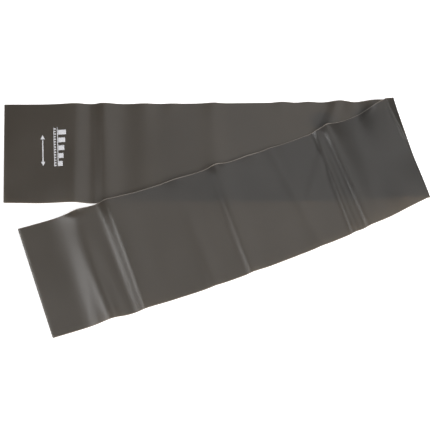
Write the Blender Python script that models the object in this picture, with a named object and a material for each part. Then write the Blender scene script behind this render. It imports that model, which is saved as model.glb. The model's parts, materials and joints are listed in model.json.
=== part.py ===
"""A latex stretching strap, folded once and lying on a surface.

The strap is one flat sheet. Every solid here is a stretch of that sheet, carried from the flat cut
into its folded place by strap_point(), so all the pieces share one shape and one length.
Lengths are in metres and angles in radians, with +Z up and the strap resting on z = 0.
"""

import bpy
from math import asin, atan, cos, pi, radians, sin
from mathutils import Vector

# The flat strap
LENGTH = 0.999               # from the printed end's near corner to the middle of the plain end
WIDTH = 0.150
THICKNESS = 0.00065
END_SKEW = 0.0146            # the printed end is cut this much out of square, longer on its far side
TIP_SKEW = 0.0078            # and the plain end this much

# The fold
FOLD_AT = 0.4996             # from the printed end to where the loop begins, along the middle
FOLD_SLANT = radians(12.70)  # how far the fold leans from straight across the strap
LOOP_RADIUS = 0.0035         # of the sheet's middle surface
LOOP_HEIGHT = 0.0080         # of the loop's centre above the floor
RISE_LENGTH = 0.100          # the lower leg climbs to the loop over this length
HINGE_ANGLE = radians(45)    # where the loop hinges, measured round it from the bottom and the top
HINGE_GAP = radians(7)       # cut back on each side of a hinge, so that the edges clear as it opens

# The upper leg
BOW_FROM = FOLD_AT + 0.030   # past the loop the strap curves sideways in its own plane
BOW_RADIUS = 3.41

# The printed mark, on the face that shows. Its u is measured from the slanting cut end
INK_THICKNESS = 0.00010
INK_GAP = 0.00005
SCALE_U = 0.0670             # a resistance scale: a rule with bars that grow
SCALE_NEAR = -0.0215
SCALE_FAR = 0.0385
RULE_WIDTH = 0.0010
BAR_COUNT = 5
BAR_FILL = 0.62              # of the space that each bar has
BAR_SHORT = 0.0050
BAR_LONG = 0.0105
TICK_U = 0.0625              # a fine row of ticks beside the scale
TICK_COUNT = 15
TICK_FILL = 0.5
TICK_LENGTH = 0.0022
TICK_RULE = 0.0006
ARROW_U = 0.0485             # a double-ended arrow on its own
ARROW_NEAR = -0.0205
ARROW_FAR = 0.0265
ARROW_SHAFT = 0.0014
ARROW_HEAD_WIDTH = 0.0056
ARROW_HEAD_LENGTH = 0.0065

LATEX = (0.055, 0.052, 0.049)
INK = (0.80, 0.80, 0.82)

HALF_WIDTH = WIDTH / 2
ARC = pi * LOOP_RADIUS
REST = THICKNESS / 2
LIP = LOOP_HEIGHT - LOOP_RADIUS
TOP = LOOP_HEIGHT + LOOP_RADIUS
ACROSS_FOLD = Vector((cos(FOLD_SLANT), sin(FOLD_SLANT), 0))
ALONG_FOLD = Vector((-sin(FOLD_SLANT), cos(FOLD_SLANT), 0))


def bowed(u, v):
    """The flat place of (u, v) once the strap past BOW_FROM curves sideways."""
    if u <= BOW_FROM:
        return u, v
    turn = (u - BOW_FROM) / BOW_RADIUS
    reach = BOW_RADIUS - v
    return BOW_FROM + reach * sin(turn), BOW_RADIUS - reach * cos(turn)


def past_fold(u, v):
    """How far (u, v) lies past the line where the loop begins, measured square to that line."""
    u, v = bowed(u, v)
    return (u - FOLD_AT) * cos(FOLD_SLANT) + v * sin(FOLD_SLANT)


def along_fold(u, v):
    """How far (u, v) lies along the fold line."""
    u, v = bowed(u, v)
    return v * cos(FOLD_SLANT) - (u - FOLD_AT) * sin(FOLD_SLANT)


def fold_line_u(distance, v):
    """The u at which a line parallel to the fold, this distance past it, crosses v."""
    return FOLD_AT + (distance - v * sin(FOLD_SLANT)) / cos(FOLD_SLANT)


UPPER_REACH = past_fold(LENGTH + TIP_SKEW / 2, HALF_WIDTH) - ARC
UPPER_TILT = asin((TOP - REST) / UPPER_REACH)


def profile(distance):
    """The sheet's section, square to the fold: (along, height, heading) this far past the fold's start."""
    if distance < 0:
        t = max(0.0, 1 + distance / RISE_LENGTH)
        slope = (LIP - REST) / RISE_LENGTH * 6 * t * (1 - t)
        return distance, REST + (LIP - REST) * t * t * (3 - 2 * t), atan(slope)
    if distance < ARC:
        turn = distance / LOOP_RADIUS
        return LOOP_RADIUS * sin(turn), LOOP_HEIGHT - LOOP_RADIUS * cos(turn), turn
    left = distance - ARC
    return -left * cos(UPPER_TILT), TOP - left * sin(UPPER_TILT), pi + UPPER_TILT


def strap_point(u, v, lift=0.0):
    """The folded place of the flat strap's point (u, v), lifted off the middle of its printed side."""
    along, height, heading = profile(past_fold(u, v))
    along -= lift * sin(heading)
    height += lift * cos(heading)
    place = ACROSS_FOLD * along + ALONG_FOLD * along_fold(u, v)
    return Vector((FOLD_AT, 0, height)) + place


def hinge_point(turn):
    """A point on the hinge line that lies this far round the loop."""
    along, height, _ = profile(turn * LOOP_RADIUS)
    return Vector((FOLD_AT, 0, height)) + ACROSS_FOLD * along


def material(name, color, roughness):
    mat = bpy.data.materials.new(name)
    mat.use_nodes = True
    shader = mat.node_tree.nodes["Principled BSDF"]
    shader.inputs["Base Color"].default_value = (*color, 1)
    shader.inputs["Roughness"].default_value = roughness
    shader.inputs["Metallic"].default_value = 0.0
    return mat


def add_object(name, points, faces, mat, pivot, parent=None):
    """A mesh object with its origin at pivot, under parent, which has no rotation."""
    mesh = bpy.data.meshes.new(name)
    mesh.from_pydata([p - pivot for p in points], [], faces)
    mesh.materials.append(mat)
    obj = bpy.data.objects.new(name, mesh)
    bpy.context.collection.objects.link(obj)
    obj.location = pivot
    if parent:
        obj.parent = parent
        obj.location = pivot - parent_pivot[parent.name]
    parent_pivot[name] = pivot
    return obj


def sheet(name, rows, mat, pivot, parent=None):
    """A closed stretch of the sheet, lofted through rows, each the (near, far) u of a line across it."""
    points = []
    for near, far in rows:
        section = ((near, -1, -1), (near, -1, 1), (far, 1, 1), (far, 1, -1))
        points += [strap_point(u, side * HALF_WIDTH, face * REST) for u, side, face in section]
    faces = [(0, 1, 2, 3)]
    for start in range(0, len(points) - 4, 4):
        for i in range(4):
            j = (i + 1) % 4
            faces.append((start + i, start + 4 + i, start + 4 + j, start + j))
    last = len(points) - 4
    faces.append((last + 3, last + 2, last + 1, last))
    obj = add_object(name, points, faces, mat, pivot, parent)
    obj.data.shade_smooth()
    return obj


def fold_row(distance):
    return fold_line_u(distance, -HALF_WIDTH), fold_line_u(distance, HALF_WIDTH)


def spaced(start, end, steps):
    return [start + (end - start) * i / steps for i in range(steps + 1)]


def beside_end(u, v):
    """The strap's (u, v) for a point whose u is measured from the slanting printed end."""
    return u - END_SKEW * (v + HALF_WIDTH) / WIDTH, v


def ink(name, outline, mat, parent):
    """A printed shape: a thin prism on the lower leg's printed face, over an outline of (u, v) points."""
    low = REST + INK_GAP
    outline = [beside_end(u, v) for u, v in outline]
    count = len(outline)
    points = [strap_point(u, v, low) for u, v in outline]
    points += [strap_point(u, v, low + INK_THICKNESS) for u, v in outline]
    faces = [tuple(reversed(range(count))), tuple(range(count, 2 * count))]
    for i in range(count):
        j = (i + 1) % count
        faces.append((i, j, count + j, count + i))
    return add_object(name, points, faces, mat, parent_pivot[parent.name], parent)


def comb_outline(base, width, near, far, lengths, fill):
    """A rule from near to far, with evenly spaced teeth of these lengths on its side away from the end."""
    pitch = (far - near) / len(lengths)
    spine = base + width
    outline = [(base, far), (base, near)]
    for i, length in enumerate(lengths):
        start = near + i * pitch
        end = start + pitch * fill
        outline += [(spine, start), (spine + length, start), (spine + length, end), (spine, end)]
    outline.append((spine, far))
    return outline


def arrow_outline(u, near, far):
    """A double-ended arrow that points across the strap both ways."""
    shaft = ARROW_SHAFT / 2
    head = ARROW_HEAD_WIDTH / 2
    neck_near = near + ARROW_HEAD_LENGTH
    neck_far = far - ARROW_HEAD_LENGTH
    return [
        (u, near),
        (u + head, neck_near),
        (u + shaft, neck_near),
        (u + shaft, neck_far),
        (u + head, neck_far),
        (u, far),
        (u - head, neck_far),
        (u - shaft, neck_far),
        (u - shaft, neck_near),
        (u - head, neck_near),
    ]


def build_lower_leg(latex):
    rows = [(0.0, -END_SKEW), fold_row(-RISE_LENGTH)]
    rows += [fold_row(d) for d in spaced(-RISE_LENGTH, 0, 12)[1:]]
    rows += [fold_row(t * LOOP_RADIUS) for t in spaced(0, HINGE_ANGLE - HINGE_GAP, 5)[1:]]
    return sheet("lower_leg", rows, latex, Vector((0, 0, 0)))


def build_fold_bend(latex, lower_leg):
    turns = spaced(HINGE_ANGLE + HINGE_GAP, pi - HINGE_ANGLE - HINGE_GAP, 10)
    rows = [fold_row(t * LOOP_RADIUS) for t in turns]
    return sheet("fold_bend", rows, latex, hinge_point(HINGE_ANGLE), lower_leg)


def build_upper_leg(latex, fold_bend):
    turns = spaced(pi - HINGE_ANGLE + HINGE_GAP, pi, 5)
    rows = [fold_row(t * LOOP_RADIUS) for t in turns]
    near, far = fold_row(ARC)
    near_steps = spaced(near, LENGTH - TIP_SKEW / 2, 24)
    far_steps = spaced(far, LENGTH + TIP_SKEW / 2, 24)
    rows += list(zip(near_steps, far_steps))[1:]
    return sheet("upper_leg", rows, latex, hinge_point(pi - HINGE_ANGLE), fold_bend)


def build_print(white, lower_leg):
    bars = spaced(BAR_SHORT, BAR_LONG, BAR_COUNT - 1)
    scale = comb_outline(SCALE_U, RULE_WIDTH, SCALE_NEAR, SCALE_FAR, bars, BAR_FILL)
    ink("print_level_scale", scale, white, lower_leg)
    ticks = [TICK_LENGTH] * TICK_COUNT
    row = comb_outline(TICK_U, TICK_RULE, SCALE_NEAR, SCALE_FAR, ticks, TICK_FILL)
    ink("print_tick_row", row, white, lower_leg)
    ink("print_arrow", arrow_outline(ARROW_U, ARROW_NEAR, ARROW_FAR), white, lower_leg)


def centre_on_origin(root):
    """Moves the assembly so that the middle of its bounding box's base is the origin."""
    bpy.context.view_layer.update()
    corners = []
    for obj in bpy.context.scene.objects:
        corners += [obj.matrix_world @ v.co for v in obj.data.vertices]
    low = [min(c[i] for c in corners) for i in range(3)]
    high = [max(c[i] for c in corners) for i in range(3)]
    root.location -= Vector(((low[0] + high[0]) / 2, (low[1] + high[1]) / 2, low[2]))


for old in list(bpy.data.objects):
    bpy.data.objects.remove(old)

parent_pivot = {}
latex = material("latex", LATEX, 0.42)
white = material("ink", INK, 0.55)
lower_leg = build_lower_leg(latex)
fold_bend = build_fold_bend(latex, lower_leg)
build_upper_leg(latex, fold_bend)
build_print(white, lower_leg)
centre_on_origin(lower_leg)
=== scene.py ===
"""The looks of the stretching strap: one latex sheet, folded once, with ripples and a printed scale.

Lengths are in metres. u runs along the flat strap from its printed end. v runs across it, away from
the viewer: -HALF_WIDTH is the near edge and HALF_WIDTH the far one.
"""

import json

import bmesh
import bpy
import numpy as np
from math import atan2, cos, pi, radians, sin
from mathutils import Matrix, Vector


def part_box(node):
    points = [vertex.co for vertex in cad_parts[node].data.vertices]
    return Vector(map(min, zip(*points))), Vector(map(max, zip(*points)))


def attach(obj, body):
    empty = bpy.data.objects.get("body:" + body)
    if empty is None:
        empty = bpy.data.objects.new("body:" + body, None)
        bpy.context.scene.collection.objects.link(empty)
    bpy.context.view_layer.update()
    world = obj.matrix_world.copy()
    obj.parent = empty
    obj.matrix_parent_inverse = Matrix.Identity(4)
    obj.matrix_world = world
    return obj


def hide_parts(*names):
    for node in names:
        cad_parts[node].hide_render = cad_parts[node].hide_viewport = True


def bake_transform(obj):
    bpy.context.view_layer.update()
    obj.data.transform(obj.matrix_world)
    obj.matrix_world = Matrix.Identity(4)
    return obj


MM = 0.001

# The flat strap. END_SKEW and TIP_SKEW say how far its two cut ends are out of square, and past
# BOW_FROM it curves sideways with BOW_RADIUS
LENGTH = 0.999
WIDTH = 0.150
THICKNESS = 0.00065
END_SKEW = 0.0146
TIP_SKEW = 0.0078
BOW_FROM = 0.5296
BOW_RADIUS = 3.41
HALF_WIDTH = WIDTH / 2
SKIN = THICKNESS / 2

# Each hinge sits this far round the CAD's loop from where the loop starts or ends
HINGE_ANGLE = radians(45)

# The fold, as (near end, far end): a tight crease that opens into a flattened loop. It is DEPTH deep
# and twice RISE high, and comes REACH past the CAD loop's start. Its middle is at LEVEL, but dips to
# LOOP_LEVEL_MIDWAY half way along, and FAR_CURL says how late it rises again to the far end
LOOP_DEPTH = (2.0 * MM, 12.5 * MM)
LOOP_RISE = (2.0 * MM, 5.2 * MM)
LOOP_LEVEL = (13.0 * MM, 11.6 * MM)
LOOP_LEVEL_MIDWAY = 7.0 * MM
LOOP_REACH = (0.6 * MM, 3.8 * MM)
FAR_CURL = 2.5
# It opens between these distances along the fold from the middle of the strap
OPENS_FROM = 0.0
OPENS_TO = 0.077
# As it opens, the upper half of its section grows sharper, and a crease rises where the loop ends. Both
# come in the sooner for a larger GROWS, and CREASE_LOSS of the crease is gone again at the far end
CREST_SHARPNESS = 0.9
CREST_GROWS = 3
CREASE_RISE = 1.2 * MM
CREASE_REACH = 2.0 * MM
CREASE_GROWS = 5
CREASE_LOSS = 0.5
# The lower leg climbs to the loop over LIFT_LENGTH, and is up at LIFT_EARLY before it
LIFT_LENGTH = (0.100, 0.030)
LIFT_EARLY = (0.0, 0.016)
# The upper leg stays up with the loop for TOP_LENGTH, and then drops over DROP_LENGTH. The far end's
# drop holds only beside the far edge, the closer to it for a larger DROP_NARROWS
TOP_LENGTH = (0.020, 0.004)
DROP_LENGTH = (0.055, 0.040)
DROP_NARROWS = 6
# Within SLIDE_LENGTH of the fold, both legs slide to make up for a loop of another girth than the CAD's
SLIDE_LENGTH = 0.070

# How the upper leg settles past the loop: its near edge sinks away from NEAR_LOFT, and its far edge is
# held up by FAR_LOFT from FAR_RISE to FAR_FALL, which fades inwards the faster for a larger FAR_NARROWS
NEAR_REST = 1.0 * MM
NEAR_LOFT = 10.0 * MM
NEAR_SETTLE = 0.100
FAR_REST = 3.0 * MM
FAR_LOFT = 5.0 * MM
FAR_RISE = (0.11, 0.27)
FAR_FALL = (0.40, 0.46)
FAR_NARROWS = 4

# Ripples: (far edge, near edge), each the crest's u in m, and in mm its height and its reach before
# and after the crest. They fade over RIPPLE_FADE towards the loop, and are gone at RIPPLE_GAP from it
RIPPLE_GAP = 0.004
RIPPLE_FADE = 0.030
LOWER_RIPPLES = [
    ((-0.014, 0.3, 20, 30), (0.000, 2.6, 20, 40)),
    ((0.077, 1.9, 26, 14), (0.083, 3.8, 28, 15)),
    ((0.113, 3.2, 9, 16), (0.122, 2.2, 9, 18)),
    ((0.166, 0.5, 16, 14), (0.172, 0.4, 16, 16)),
    ((0.256, 0.9, 16, 10), (0.262, 0.7, 14, 12)),
    ((0.345, 0.7, 18, 14), (0.350, 0.4, 18, 14)),
    ((0.419, 3.4, 14, 14), (0.372, 3.0, 14, 14)),
]
UPPER_RIPPLES = [
    ((0.588, 3.5, 22, 8), (0.606, 3.2, 20, 7.5)),
    ((0.604, 1.9, 6, 4.5), (0.627, 2.2, 7, 5)),
    ((0.668, 0.8, 10, 8), (0.671, 1.2, 9, 7)),
    ((0.746, 1.7, 14, 8), (0.757, 2.3, 12, 7)),
    ((0.843, 0.4, 16, 14), (0.848, 0.6, 14, 10)),
    ((0.800, 0.0, 10, 8), (0.804, 1.4, 9, 7)),
    ((0.886, 4.2, 26, 12), (0.886, 3.4, 26, 10)),
    ((0.934, 0.3, 12, 16), (0.926, 5.6, 12, 18)),
]
# Where the far edges flutter: u in m, and in mm the height, the reach along the edge and in from it
LOWER_FLUTTER = [
    (0.077, 0.9, 14, 12),
    (0.166, 1.0, 12, 12),
    (0.202, 0.8, 10, 12),
    (0.256, 1.0, 9, 12),
    (0.345, 1.6, 9, 12),
    (0.379, 2.0, 10, 12),
    (0.419, 1.4, 12, 14),
]
UPPER_FLUTTER = [
    (0.590, 5.6, 12, 14),
    (0.669, 1.2, 12, 14),
    (0.700, 1.8, 12, 5),
    (0.745, 4.0, 10, 9),
    (0.801, 2.2, 14, 12),
    (0.892, 2.0, 7, 14),
    (0.928, 3.6, 12, 5),
]

# The upper leg keeps CLEARANCE above the lower one, which takes hold over CONTACT_LENGTH, starting at
# CONTACT_FROM past the loop. CONTACT_BLEND rounds off where it first touches. It comes up from the
# floor over NEAR_RAMP beside the lower leg's near edge, and over END_RAMP beside its printed end
CLEARANCE = 0.9 * MM
CONTACT_FROM = 0.010
CONTACT_LENGTH = 0.030
CONTACT_BLEND = 0.6 * MM
NEAR_RAMP = 0.014
END_RAMP = 0.012

# The printed end is narrower by NARROWING, as far as NARROWING_TO; it fades over NARROWING_FADE
NARROWING = 0.9 * MM
NARROWING_TO = 0.15
NARROWING_FADE = 0.20

# The mesh: its cells, finer within LOOP_ZONE of the middle of the fold, and the band along each long
# edge that has the cut edge's material, whose paler colour is a painted highlight
EDGE_HIGHLIGHT_BAND = 0.35 * MM
CELL_ALONG = 2.5 * MM
CELL_ACROSS = 3.0 * MM
LOOP_CELL = 0.6 * MM
LOOP_ZONE = 0.026
RIM_STEPS = 4
NORMAL_STEP = 0.1 * MM

# The printed marks, each from its NEAR to its FAR and at its own U: a rule with bars of growing length,
# a row of ticks and an arrow
INK_GAP = 0.05 * MM
INK_THICKNESS = 0.10 * MM
INK_CELLS = 8
SCALE_U = 0.0670
SCALE_NEAR = -0.0215
SCALE_FAR = 0.0385
RULE_WIDTH = 0.0010
BAR_COUNT = 5
BAR_FILL = 0.62
BAR_SHORT = 0.0050
BAR_LONG = 0.0105
TICK_U = 0.0625
TICK_COUNT = 15
TICK_FILL = 0.5
TICK_LENGTH = 0.0022
TICK_RULE = 0.0006
ARROW_U = 0.0485
ARROW_NEAR = -0.0205
ARROW_FAR = 0.0265
ARROW_SHAFT = 0.0014
ARROW_HEAD_WIDTH = 0.0056
ARROW_HEAD_LENGTH = 0.0065

# Latex: dark and pale shades and roughness, on its face and on its cut edge. The cut edge's paler
# shades are a painted highlight, for the light that its rim catches and lets through
FACE_SHADES = ((0.027, 0.0255, 0.0235), (0.034, 0.032, 0.0295))
FACE_ROUGHNESS = 0.30
EDGE_HIGHLIGHT_SHADES = ((0.21, 0.185, 0.16), (0.27, 0.24, 0.21))
EDGE_ROUGHNESS = 0.50
ROUGHNESS_SPREAD = 0.02
CLOUD_SCALE = 14
CLOUD_DETAIL = 4
GRAIN_SCALE = 900
GRAIN_DETAIL = 2
GRAIN_STRENGTH = 0.10
GRAIN_HEIGHT = 0.2 * MM
SPECULAR = 0.5
# How much light each skin of the sheet lets through, and its colour
GLOW_SHARE = 0.17
GLOW_TINT = (1.0, 0.85, 0.65)

INK_SHADES = ((0.50, 0.50, 0.52), (0.62, 0.62, 0.64))
INK_ROUGHNESS = 0.6
INK_WEAR_SCALE = 420
INK_WEAR_DETAIL = 3

FLOOR_HALF = 4
FLOOR_COLORS = ((0.90, 0.90, 0.90), (0.93, 0.93, 0.93))
FLOOR_ROUGHNESS = 0.9
FLOOR_CLOUD_SCALE = 3
FLOOR_CLOUD_DETAIL = 2
# The floor glows by itself: painted light that keeps it evenly white and shines up through the sheet,
# even where the sheet lies on it
FLOOR_GLOW = 0.66
# Painted shadows in the floor's glow, where the lower leg's lifted parts keep light off the floor: u,
# v, and how far along and across. A shade is full out to SHADE_CORE of that
FLOOR_SHADES = [
    (0.395, 0.046, 0.022, 0.018),
    (0.462, 0.054, 0.034, 0.020),
]
SHADE_CORE = 0.5

# The camera looks at a point on the floor beside the middle of the object
LOOK_AT = Vector((0.010, -0.0103, 0))
CAMERA_AZIMUTH = radians(-0.36)
CAMERA_ELEVATION = radians(60.24)
CAMERA_DISTANCE = 1.226
LENS = 82.96

# Softboxes: name, azimuth (0 stands behind the object, and turns towards its left) and elevation in
# degrees, distance and size (across, up), and glow on the same scale as WORLD_GLOW
WORLD_GLOW = 0.12
LIGHTS = [
    ("back_softbox", -28, 52, 1.7, (1.7, 0.55), 1.42),
    ("top_softbox", -39, 72, 1.5, (1.2, 0.60), 0.85),
    ("key_softbox", 58, 57, 2.35, (0.45, 0.36), 15.0),
    ("left_softbox", 35, 72, 1.7, (0.7, 0.3), 0.9),
    ("front_softbox", -142, 42, 1.9, (0.9, 0.7), 28.0),
]


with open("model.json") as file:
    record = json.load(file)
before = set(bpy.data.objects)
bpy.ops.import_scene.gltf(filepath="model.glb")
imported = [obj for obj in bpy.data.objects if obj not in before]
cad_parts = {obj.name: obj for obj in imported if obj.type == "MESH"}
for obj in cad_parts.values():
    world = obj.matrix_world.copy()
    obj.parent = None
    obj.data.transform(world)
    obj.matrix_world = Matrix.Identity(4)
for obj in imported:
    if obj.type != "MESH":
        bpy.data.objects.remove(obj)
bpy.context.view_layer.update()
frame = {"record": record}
joints = {j["name"]: j for j in frame["record"]["behaviour"]["joints"]}
lower_hinge = Vector(joints["fold_opens"]["pos_m"])
upper_hinge = Vector(joints["fold_straightens"]["pos_m"])
# The CAD loop: its start lies over FOLD_START, at u = FOLD_AT, and its middle FOLD_MIDDLE further round
ALONG_FOLD = np.array(joints["fold_opens"]["axis"], float)
ACROSS_FOLD = np.array([ALONG_FOLD[1], -ALONG_FOLD[0], 0])
SLANT = atan2(-ALONG_FOLD[0], ALONG_FOLD[1])
LOOP_RADIUS = (upper_hinge.z - lower_hinge.z) / 2 / cos(HINGE_ANGLE)
FOLD_START = np.array([lower_hinge.x, lower_hinge.y, 0]) - ACROSS_FOLD * LOOP_RADIUS * sin(HINGE_ANGLE)
FOLD_AT = FOLD_START[0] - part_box("lower_leg")[0][0] - END_SKEW
FOLD_MIDDLE = LOOP_RADIUS * pi / 2


def smooth(t):
    t = np.clip(t, 0, 1)
    return t * t * (3 - 2 * t)


def bowed(u, v):
    """The flat place of (u, v), with the strap past BOW_FROM curved sideways."""
    turn = np.maximum(u - BOW_FROM, 0) / BOW_RADIUS
    reach = BOW_RADIUS - v
    curved = u > BOW_FROM
    along = np.where(curved, BOW_FROM + reach * np.sin(turn), u)
    return along, np.where(curved, BOW_RADIUS - reach * np.cos(turn), v)


def fold_coordinates(u, v):
    """How far (u, v) lies past the CAD loop's start, square to the fold, and how far along the fold."""
    u, v = bowed(u, v)
    past = (u - FOLD_AT) * cos(SLANT) + v * sin(SLANT)
    along = v * cos(SLANT) - (u - FOLD_AT) * sin(SLANT)
    return past, along


def between(ends, share):
    """The value at this share of the way from the near end's to the far end's."""
    return ends[0] + (ends[1] - ends[0]) * share


def ripple_height(ripples, u, v):
    """The summed height of ripples whose crests run across the strap from edge to edge."""
    t = (v + HALF_WIDTH) / WIDTH
    height = np.zeros_like(u)
    for far, near in ripples:
        crest, rise, before, after = (n + (f - n) * t for f, n in zip(far, near))
        offset = (u - crest) / MM
        reach = np.where(offset < 0, before, after)
        height += rise * MM * np.exp(-((offset / reach) ** 2))
    return height


def flutter_height(flutters, u, v):
    """The summed height of lifts that fade inwards from the far cut edge."""
    height = np.zeros_like(u)
    for crest, rise, along, inward in flutters:
        edge = np.exp(-np.maximum(HALF_WIDTH - v, 0) / MM / inward)
        height += rise * MM * edge * np.exp(-(((u - crest) / MM / along) ** 2))
    return height


def loop_at(along):
    """The loop's depth, half height, level, reach and share opened, this far along the fold."""
    opened = np.clip((along - OPENS_FROM) / (OPENS_TO - OPENS_FROM), 0, 1)
    share = np.clip(0.5 + along / WIDTH, 0, 1)
    depth, rise = between(LOOP_DEPTH, opened), between(LOOP_RISE, opened)
    near = (LOOP_LEVEL[0] - LOOP_LEVEL_MIDWAY) * smooth(1 - 2 * share)
    far = (LOOP_LEVEL[1] - LOOP_LEVEL_MIDWAY) * np.clip(2 * share - 1, 0, 1) ** FAR_CURL
    return depth, rise, LOOP_LEVEL_MIDWAY + near + far, between(LOOP_REACH, share), opened


def lower_height(u, v):
    """The height of the lower leg's middle surface, before the loop."""
    past, along = fold_coordinates(u, v)
    _, rise, level, _, _ = loop_at(along)
    share = np.clip(0.5 + along / WIDTH, 0, 1)
    climb = smooth(1 + (past + between(LIFT_EARLY, share)) / between(LIFT_LENGTH, share))
    fade = 1 - smooth(1 + (past + RIPPLE_GAP) / RIPPLE_FADE)
    wave = ripple_height(LOWER_RIPPLES, u, v) + flutter_height(LOWER_FLUTTER, u, v)
    return SKIN + (level - rise - SKIN) * climb + wave * fade


def upper_height(u, v, after, along):
    """The height of the upper leg's middle surface, this far past the loop and along the fold."""
    share = np.clip(0.5 + v / WIDTH, 0, 1)
    near = NEAR_REST + NEAR_LOFT * np.exp(-after / NEAR_SETTLE)
    held = smooth((after - FAR_RISE[0]) / (FAR_RISE[1] - FAR_RISE[0]))
    held -= smooth((after - FAR_FALL[0]) / (FAR_FALL[1] - FAR_FALL[0]))
    base = near + (FAR_REST - near) * share + FAR_LOFT * held * share**FAR_NARROWS
    start = NEAR_REST + NEAR_LOFT + (FAR_REST - NEAR_REST - NEAR_LOFT) * share
    _, rise, level, _, _ = loop_at(along)
    drop_length = between(DROP_LENGTH, share**DROP_NARROWS)
    drop = smooth((after - between(TOP_LENGTH, share)) / drop_length)
    height = base + (level + rise - start) * (1 - drop)
    grow = smooth((after - RIPPLE_GAP) / RIPPLE_FADE)
    wave = ripple_height(UPPER_RIPPLES, u, v) + flutter_height(UPPER_FLUTTER, u, v)
    return height + wave * grow


def over_lower_leg(x, y):
    """The least height of the upper leg: above the lower leg where it lies on it, else the floor."""
    u, v = x - FOLD_START[0] + FOLD_AT, y - FOLD_START[1]
    near = smooth((v + HALF_WIDTH + NEAR_RAMP) / NEAR_RAMP)
    below = lower_height(u, np.clip(v, -HALF_WIDTH, HALF_WIDTH)) + CLEARANCE
    return SKIN + (below - SKIN) * near * smooth((u + END_RAMP) / END_RAMP)


def soft_max(a, b):
    return (a + b + np.sqrt((a - b) ** 2 + CONTACT_BLEND * CONTACT_BLEND)) / 2


def middle_surface(u, v):
    """The folded place of the strap's middle surface."""
    past, along = fold_coordinates(u, v)
    depth, rise, level, reach, opened = loop_at(along)
    girth = (depth + rise) / 2
    turn = (past - FOLD_MIDDLE) / girth + pi / 2
    before = (past - FOLD_MIDDLE) + girth * pi / 2
    after = (past - FOLD_MIDDLE) - girth * pi / 2
    slide = reach - depth + girth * pi / 2 - FOLD_MIDDLE
    slide = slide * (1 - smooth(np.maximum(-before, after) / SLIDE_LENGTH))
    round_turn = np.clip(turn, 0, pi)
    power = 1 + CREST_SHARPNESS * smooth(CREST_GROWS * opened) * (round_turn > pi / 2)
    out = reach - depth + depth * np.abs(np.sin(round_turn)) ** power
    loop = level - rise * np.sign(np.cos(round_turn)) * np.abs(np.cos(round_turn)) ** power
    returning = 2 * FOLD_MIDDLE - past + slide
    across = np.where(turn < 0, past + slide, np.where(turn < pi, out, returning))
    place = FOLD_START + ACROSS_FOLD * across[..., None] + ALONG_FOLD * along[..., None]
    upper = upper_height(u, v, np.maximum(after, 0), along)
    resting = soft_max(upper, over_lower_leg(place[..., 0], place[..., 1]))
    upper = upper + (resting - upper) * smooth((after - CONTACT_FROM) / CONTACT_LENGTH)
    crease = CREASE_RISE * smooth(CREASE_GROWS * opened) * (1 - CREASE_LOSS * opened)
    crease = crease * np.exp(-((after / CREASE_REACH) ** 2))
    height = np.where(turn < 0, lower_height(u, v), np.where(turn < pi, loop, upper))
    place[..., 2] = height + crease
    narrow = 1 - smooth((u - NARROWING_TO) / NARROWING_FADE)
    place[..., 1] -= NARROWING * np.clip(0.5 + v / WIDTH, 0, 1) * narrow
    return place


def strap_points(u, v, lift):
    """The folded place of points lifted off the middle surface, towards its printed side."""
    u, v, lift = (np.asarray(a, float) for a in np.broadcast_arrays(u, v, lift))
    along = middle_surface(u + NORMAL_STEP, v) - middle_surface(u - NORMAL_STEP, v)
    across = middle_surface(u, v + NORMAL_STEP) - middle_surface(u, v - NORMAL_STEP)
    normal = np.cross(along, across)
    normal /= np.linalg.norm(normal, axis=-1, keepdims=True)
    return middle_surface(u, v) + normal * lift[..., None]


def fold_line_u(past, v):
    """Where the line this far past the CAD loop's start, square to the fold, crosses v."""
    return FOLD_AT + (past - v * sin(SLANT)) / cos(SLANT)


def add_mesh(name, points, faces, mats, face_mats=None):
    mesh = bpy.data.meshes.new(name)
    mesh.from_pydata([tuple(p) for p in points], [], faces)
    for mat in mats:
        mesh.materials.append(mat)
    if face_mats is not None:
        mesh.polygons.foreach_set("material_index", face_mats)
    mesh.shade_smooth()
    mesh.validate()
    if len(faces) > 1:
        shell = bmesh.new()
        shell.from_mesh(mesh)
        bmesh.ops.recalc_face_normals(shell, faces=shell.faces)
        shell.to_mesh(mesh)
        shell.free()
    obj = bpy.data.objects.new(name, mesh)
    bpy.context.collection.objects.link(obj)
    return obj


def stations(length):
    """Fractions along a leg from its free end to the loop, closer together in the loop."""
    plain = int((length - LOOP_ZONE) / CELL_ALONG)
    fine = int(LOOP_ZONE / LOOP_CELL)
    start = np.linspace(0, length - LOOP_ZONE, plain, endpoint=False)
    end = np.linspace(length - LOOP_ZONE, length, fine + 1)
    return np.concatenate([start, end]) / length


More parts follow.
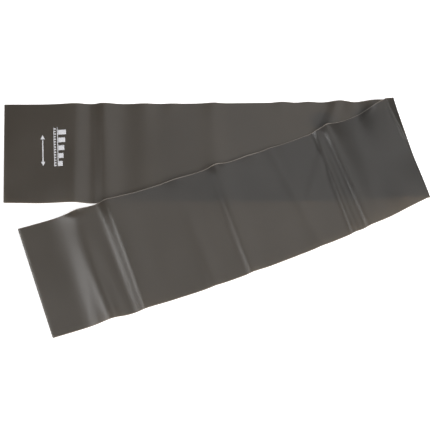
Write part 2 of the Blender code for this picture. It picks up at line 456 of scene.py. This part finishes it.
def leg(name, free_end, mats):
    """A closed sheet from a free end, as the u of its near and far corners, to the fold's middle."""
    inner = np.linspace(EDGE_HIGHLIGHT_BAND - HALF_WIDTH, HALF_WIDTH - EDGE_HIGHLIGHT_BAND, int(WIDTH / CELL_ACROSS))
    v = np.concatenate([[-HALF_WIDTH], inner, [HALF_WIDTH]])
    columns = len(v)
    start = np.linspace(free_end[0], free_end[1], columns)
    fold = fold_line_u(FOLD_MIDDLE, v)
    share = stations(abs(fold - start).mean())[:, None]
    u = start + (fold - start) * share
    rows = len(u)
    v = np.broadcast_to(v, u.shape)
    outward = np.sign(start - fold)[0]
    front = outward < 0
    skins = [strap_points(u, v, SKIN), strap_points(u, v, -SKIN)]
    points = np.concatenate([skin.reshape(-1, 3) for skin in skins])
    faces, face_mats = [], []
    for i in range(rows - 1):
        for j in range(columns - 1):
            a, b = i * columns + j, i * columns + j + 1
            c, d = b + columns, a + columns
            top = (a, d, c, b) if front else (a, b, c, d)
            faces.append(top)
            faces.append(tuple(rows * columns + k for k in reversed(top)))
            # The outermost cells along each long edge take the cut edge's material, a painted highlight
            face_mats += [int(j in (0, columns - 2))] * 2
    # The rim runs up one side, round the free end and down the other, with a rounded section
    ring = [(rows - 1 - k, 0) for k in range(rows)]
    ring += [(0, j) for j in range(1, columns)]
    ring += [(k, columns - 1) for k in range(1, rows)]
    place = np.array(ring)
    ru, rv = u[place[:, 0], place[:, 1]], v[place[:, 0], place[:, 1]]
    out_u = np.where(place[:, 0] == 0, outward, 0.0)
    out_v = np.where(place[:, 1] == 0, -1.0, np.where(place[:, 1] == columns - 1, 1.0, 0.0))
    size = np.maximum(np.hypot(out_u, out_v), 1)
    rounds = []
    for turn in np.linspace(0, pi, RIM_STEPS + 1)[1:-1]:
        reach = SKIN * sin(turn) / size
        rounds.append(strap_points(ru + out_u * reach, rv + out_v * reach, SKIN * cos(turn)))
    base = len(points)
    points = np.concatenate([points] + rounds)
    count = len(ring)
    layers = [[r * columns + c for r, c in ring]]
    layers += [[base + k * count + i for i in range(count)] for k in range(len(rounds))]
    layers.append([rows * columns + r * columns + c for r, c in ring])
    for upper, lower in zip(layers, layers[1:]):
        for i in range(count - 1):
            quad = (upper[i], lower[i], lower[i + 1], upper[i + 1])
            faces.append(quad if front else tuple(reversed(quad)))
    # The cap closes the sheet at the middle of the fold, where it meets the other leg's
    last = rows - 1
    cap = [last * columns + j for j in range(columns)]
    cap += [layer[-1] for layer in layers[1:-1]]
    cap += [rows * columns + last * columns + j for j in reversed(range(columns))]
    cap += [layer[0] for layer in reversed(layers[1:-1])]
    faces.append(tuple(reversed(cap)) if front else tuple(cap))
    # The rim and the cap take the cut edge's material, a painted highlight
    face_mats += [1] * (len(faces) - len(face_mats))
    return add_mesh(name, points, faces, mats, face_mats)


def ink_shape(name, quads, mat):
    """Printed shapes, each a thin closed patch that follows the sheet, between four (u, v) corners."""
    points, faces = [], []
    n = INK_CELLS + 1
    s = np.linspace(0, 1, n)
    for quad in quads:
        a, b, c, d = (np.array(beside_end(*q)) for q in quad)
        across, along = np.meshgrid(s, s)
        flat = (a + (b - a) * across[..., None]) * (1 - along[..., None])
        flat = flat + (d + (c - d) * across[..., None]) * along[..., None]
        low = strap_points(flat[..., 0], flat[..., 1], SKIN + INK_GAP)
        high = strap_points(flat[..., 0], flat[..., 1], SKIN + INK_GAP + INK_THICKNESS)
        base = len(points)
        points += [*low.reshape(-1, 3), *high.reshape(-1, 3)]
        for i in range(INK_CELLS):
            for j in range(INK_CELLS):
                k = base + i * n + j
                faces.append((k, k + n, k + n + 1, k + 1))
                k += n * n
                faces.append((k, k + 1, k + n + 1, k + n))
        edge = [*range(n)] + [i * n + INK_CELLS for i in range(1, n)]
        edge += [INK_CELLS * n + j for j in reversed(range(INK_CELLS))]
        edge += [i * n for i in reversed(range(1, INK_CELLS))]
        for i in range(len(edge)):
            p, q = base + edge[i], base + edge[(i + 1) % len(edge)]
            faces.append((p, q, q + n * n, p + n * n))
    return add_mesh(name, points, faces, [mat])


def beside_end(u, v):
    """(u, v) with u measured from the slanting cut end, so that prints line up with it."""
    return u - END_SKEW * (v + HALF_WIDTH) / WIDTH, v


def rectangle(u0, u1, v0, v1):
    return [(u0, v0), (u1, v0), (u1, v1), (u0, v1)]


def comb(base, width, near, far, lengths, fill):
    """A rule from near to far, with evenly spaced teeth of these lengths standing on it."""
    pitch = (far - near) / len(lengths)
    quads = [rectangle(base, base + width, near, far)]
    for i, length in enumerate(lengths):
        start = near + i * pitch
        quads.append(rectangle(base + width, base + width + length, start, start + pitch * fill))
    return quads


def double_arrow():
    """A shaft across the strap with a head at each end; a head's tip is two corners in one place."""
    shaft, head = ARROW_SHAFT / 2, ARROW_HEAD_WIDTH / 2
    neck_near, neck_far = ARROW_NEAR + ARROW_HEAD_LENGTH, ARROW_FAR - ARROW_HEAD_LENGTH
    low, high = ARROW_U - head, ARROW_U + head
    near, far = (ARROW_U, ARROW_NEAR), (ARROW_U, ARROW_FAR)
    head_near = [(low, neck_near), near, near, (high, neck_near)]
    head_far = [(high, neck_far), far, far, (low, neck_far)]
    return [rectangle(ARROW_U - shaft, ARROW_U + shaft, neck_near, neck_far), head_near, head_far]


def new_material(name):
    mat = bpy.data.materials.new(name)
    mat.use_nodes = True
    nodes = mat.node_tree.nodes
    return mat, nodes, mat.node_tree.links, nodes["Principled BSDF"]


def noise(nodes, links, coords, scale, detail):
    texture = nodes.new("ShaderNodeTexNoise")
    texture.inputs["Scale"].default_value = scale
    texture.inputs["Detail"].default_value = detail
    links.new(coords, texture.inputs["Vector"])
    return texture.outputs["Fac"]


def ramp(nodes, links, value, low, high, start, end):
    spread = nodes.new("ShaderNodeMapRange")
    spread.inputs["From Min"].default_value = low
    spread.inputs["From Max"].default_value = high
    spread.inputs["To Min"].default_value = start
    spread.inputs["To Max"].default_value = end
    links.new(value, spread.inputs["Value"])
    return spread.outputs["Result"]


def mixed(nodes, links, share, colors):
    mix = nodes.new("ShaderNodeMix")
    mix.data_type = "RGBA"
    mix.inputs["A"].default_value = (*colors[0], 1)
    mix.inputs["B"].default_value = (*colors[1], 1)
    links.new(share, mix.inputs["Factor"])
    return mix.outputs["Result"]


def latex_material(name, shades, roughness):
    """Latex with a satin skin: mottled by bloom, finely grained, and letting a little warm light by."""
    mat, nodes, links, shader = new_material(name)
    coords = nodes.new("ShaderNodeTexCoord").outputs["Object"]
    cloud = noise(nodes, links, coords, CLOUD_SCALE, CLOUD_DETAIL)
    grain = noise(nodes, links, coords, GRAIN_SCALE, GRAIN_DETAIL)
    bloom = mixed(nodes, links, ramp(nodes, links, cloud, 0.35, 0.7, 0, 1), shades)
    links.new(bloom, shader.inputs["Base Color"])
    smoothest, roughest = roughness - ROUGHNESS_SPREAD, roughness + ROUGHNESS_SPREAD
    satin = ramp(nodes, links, cloud, 0.3, 0.7, smoothest, roughest)
    links.new(satin, shader.inputs["Roughness"])
    shader.inputs["Specular IOR Level"].default_value = SPECULAR
    bump = nodes.new("ShaderNodeBump")
    bump.inputs["Strength"].default_value = GRAIN_STRENGTH
    bump.inputs["Distance"].default_value = GRAIN_HEIGHT
    links.new(grain, bump.inputs["Height"])
    links.new(bump.outputs["Normal"], shader.inputs["Normal"])
    glow = nodes.new("ShaderNodeBsdfTranslucent")
    glow.inputs["Color"].default_value = (*GLOW_TINT, 1)
    mix = nodes.new("ShaderNodeMixShader")
    mix.inputs["Fac"].default_value = GLOW_SHARE
    links.new(shader.outputs["BSDF"], mix.inputs[1])
    links.new(glow.outputs["BSDF"], mix.inputs[2])
    links.new(mix.outputs["Shader"], nodes["Material Output"].inputs["Surface"])
    return mat


def ink_material():
    mat, nodes, links, shader = new_material("printed_ink")
    coords = nodes.new("ShaderNodeTexCoord").outputs["Object"]
    worn = noise(nodes, links, coords, INK_WEAR_SCALE, INK_WEAR_DETAIL)
    share = ramp(nodes, links, worn, 0.3, 0.75, 0, 1)
    links.new(mixed(nodes, links, share, INK_SHADES), shader.inputs["Base Color"])
    shader.inputs["Roughness"].default_value = INK_ROUGHNESS
    return mat


def shaded(nodes, links, coords, place, size):
    """A share of the floor's glow, for a painted shadow: 0 in the core of an ellipse, and 1 from its
    rim outwards.
    """
    mapping = nodes.new("ShaderNodeMapping")
    mapping.vector_type = "TEXTURE"
    mapping.inputs["Location"].default_value = place
    mapping.inputs["Scale"].default_value = (*size, 1)
    links.new(coords, mapping.inputs["Vector"])
    away = nodes.new("ShaderNodeVectorMath")
    away.operation = "LENGTH"
    links.new(mapping.outputs["Vector"], away.inputs[0])
    return ramp(nodes, links, away.outputs["Value"], SHADE_CORE, 1, 0, 1)


def floor_material():
    mat, nodes, links, shader = new_material("studio_floor")
    coords = nodes.new("ShaderNodeTexCoord").outputs["Object"]
    share = noise(nodes, links, coords, FLOOR_CLOUD_SCALE, FLOOR_CLOUD_DETAIL)
    color = mixed(nodes, links, share, FLOOR_COLORS)
    links.new(color, shader.inputs["Base Color"])
    # The floor's glow is painted light
    links.new(color, shader.inputs["Emission Color"])
    strength = nodes.new("ShaderNodeValue")
    strength.outputs["Value"].default_value = FLOOR_GLOW
    glow = strength.outputs["Value"]
    # Painted shadows: the glow is cut down inside each of FLOOR_SHADES
    for u, v, along, across in FLOOR_SHADES:
        place = (FOLD_START[0] + u - FOLD_AT, FOLD_START[1] + v, 0)
        product = nodes.new("ShaderNodeMath")
        product.operation = "MULTIPLY"
        links.new(glow, product.inputs[0])
        links.new(shaded(nodes, links, coords, place, (along, across)), product.inputs[1])
        glow = product.outputs["Value"]
    links.new(glow, shader.inputs["Emission Strength"])
    shader.inputs["Roughness"].default_value = FLOOR_ROUGHNESS
    return mat


def build_strap():
    latex = latex_material("latex_sheet", FACE_SHADES, FACE_ROUGHNESS)
    # The cut edge's pale material is a painted highlight along the strap's edges
    edge = latex_material("latex_cut_edge", EDGE_HIGHLIGHT_SHADES, EDGE_ROUGHNESS)
    tip = (LENGTH - TIP_SKEW / 2, LENGTH + TIP_SKEW / 2)
    lower = leg("strap_lower", (0.0, -END_SKEW), [latex, edge])
    upper = leg("strap_upper", tip, [latex, edge])
    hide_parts("lower_leg")
    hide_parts("upper_leg", "fold_bend")
    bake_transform(lower)
    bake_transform(upper)


def build_print():
    mat = ink_material()
    bars = np.linspace(BAR_SHORT, BAR_LONG, BAR_COUNT)
    ticks = [TICK_LENGTH] * TICK_COUNT
    shapes = {
        "print_level_scale": comb(SCALE_U, RULE_WIDTH, SCALE_NEAR, SCALE_FAR, bars, BAR_FILL),
        "print_tick_row": comb(TICK_U, TICK_RULE, SCALE_NEAR, SCALE_FAR, ticks, TICK_FILL),
        "print_arrow": double_arrow(),
    }
    for node, quads in shapes.items():
        piece = ink_shape("ink_" + node, quads, mat)
        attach(piece, "lower_leg")
        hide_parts(node)


def build_floor():
    half = FLOOR_HALF
    points = [(-half, -half, 0), (half, -half, 0), (half, half, 0), (-half, half, 0)]
    floor = add_mesh("floor", points, [(0, 1, 2, 3)], [floor_material()])


def area_light(name, azimuth, elevation, distance, size, power):
    """A softbox aimed at the object; see LIGHTS."""
    light = bpy.data.lights.new(name, "AREA")
    light.shape = "RECTANGLE"
    light.size, light.size_y = size
    light.energy = power
    obj = bpy.data.objects.new(name, light)
    bpy.context.collection.objects.link(obj)
    a, e = radians(azimuth), radians(elevation)
    back = Vector((-sin(a) * cos(e), cos(a) * cos(e), sin(e)))
    obj.location = LOOK_AT + back * distance
    obj.rotation_mode = "QUATERNION"
    obj.rotation_quaternion = back.to_track_quat("Z", "Y")


def build_lights():
    world = bpy.data.worlds.new("studio")
    bpy.context.scene.world = world
    world.use_nodes = True
    background = world.node_tree.nodes["Background"]
    background.inputs["Color"].default_value = (1, 1, 1, 1)
    background.inputs["Strength"].default_value = WORLD_GLOW
    for name, azimuth, elevation, distance, size, glow in LIGHTS:
        area_light(name, azimuth, elevation, distance, size, glow * pi * size[0] * size[1])


def build_camera():
    camera = bpy.data.cameras.new("camera")
    camera.lens = LENS
    obj = bpy.data.objects.new("camera", camera)
    bpy.context.collection.objects.link(obj)
    a, e = CAMERA_AZIMUTH, CAMERA_ELEVATION
    back = Vector((sin(a) * cos(e), -cos(a) * cos(e), sin(e)))
    obj.location = LOOK_AT + back * CAMERA_DISTANCE
    obj.rotation_mode = "QUATERNION"
    obj.rotation_quaternion = back.to_track_quat("Z", "Y")
    bpy.context.scene.camera = obj
    bpy.context.scene.view_settings.view_transform = "Standard"


build_camera()
build_lights()
build_floor()
build_strap()
build_print()
